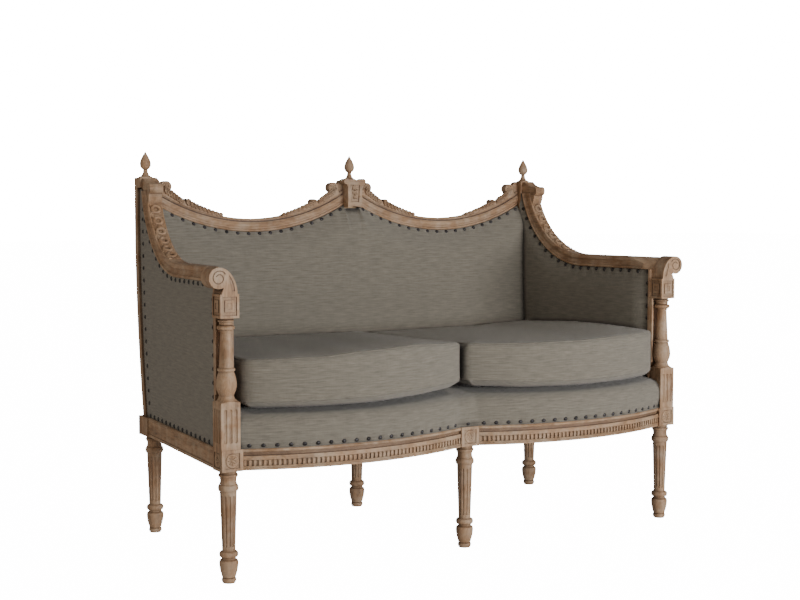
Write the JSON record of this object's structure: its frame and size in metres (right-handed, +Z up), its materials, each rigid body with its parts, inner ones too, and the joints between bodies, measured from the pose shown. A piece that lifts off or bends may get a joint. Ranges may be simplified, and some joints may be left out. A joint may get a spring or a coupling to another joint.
{
  "type": "loveseat",
  "caption": "Two-seat settee with a carved swag-topped back, swept arms on turned posts, turned fluted legs, a double-bowed front rail, nail-trimmed upholstery and loose boxed seat cushions.",
  "frame": {"origin": "middle of the bounding box in plan, on the floor", "axes": "+X to the viewer's right when facing the front, -Y out of the front, +Z up"},
  "size_m": [1.362, 0.6867, 0.977],
  "materials": {
    "wood": "limed and weathered, matt",
    "raw_wood": "unfinished",
    "linen": "plain weave",
    "jute": "coarse weave",
    "dust_cloth": "thin cloth",
    "foam": "soft foam",
    "nails": "dark pewter",
    "steel": "plain"
  },
  "bodies": {
    "frame": {"leg_front_left": "wood", "leg_front_centre": "wood", "leg_front_right": "wood", "leg_back_centre": "wood", "back_post_left": "wood", "back_post_right": "wood", "front_rail_left": "wood", "front_rail_right": "wood", "side_rail_left": "wood", "side_rail_right": "wood", "back_rail_left": "raw_wood", "back_rail_right": "raw_wood", "seat_cross_rail": "raw_wood", "corner_braces": "raw_wood", "brace_bolts": "steel", "arm_post_left": "wood", "arm_post_right": "wood", "arm_stile_left": "wood", "arm_stile_right": "wood", "arm_rail_left": "wood", "arm_rail_right": "wood", "crest_rail_left": "wood", "crest_rail_right": "wood", "centre_pier": "wood", "finial_left": "wood", "finial_centre": "wood", "finial_right": "wood", "back_lower_rail": "raw_wood", "back_stile": "raw_wood", "seat_webbing": "jute", "seat_hessian": "jute", "back_webbing": "jute", "seat_deck": "linen", "inside_back_pad": "linen", "inside_arm_pad_left": "linen", "inside_arm_pad_right": "linen", "outside_arm_panel_left": "linen", "outside_arm_panel_right": "linen", "outside_back_panel": "linen", "dust_cover": "dust_cloth", "nails_seat_front": "nails", "nails_inside_back": "nails", "nails_outside_back": "nails", "nails_inside_arm_left": "nails", "nails_inside_arm_right": "nails", "nails_outside_arm_left": "nails", "nails_outside_arm_right": "nails"},
    "cushion_left": {"cushion_cover_left": "linen", "cushion_core_left": "foam"},
    "cushion_right": {"cushion_cover_right": "linen", "cushion_core_right": "foam"}
  },
  "joints": [
    {"name": "cushion_left_lift", "type": "slide", "parent": "frame", "child": "cushion_left", "axis": [0, 0, 1], "range_m": [0, 0.4]},
    {"name": "cushion_right_lift", "type": "slide", "parent": "frame", "child": "cushion_right", "axis": [0, 0, 1], "range_m": [0, 0.4]}
  ]
}
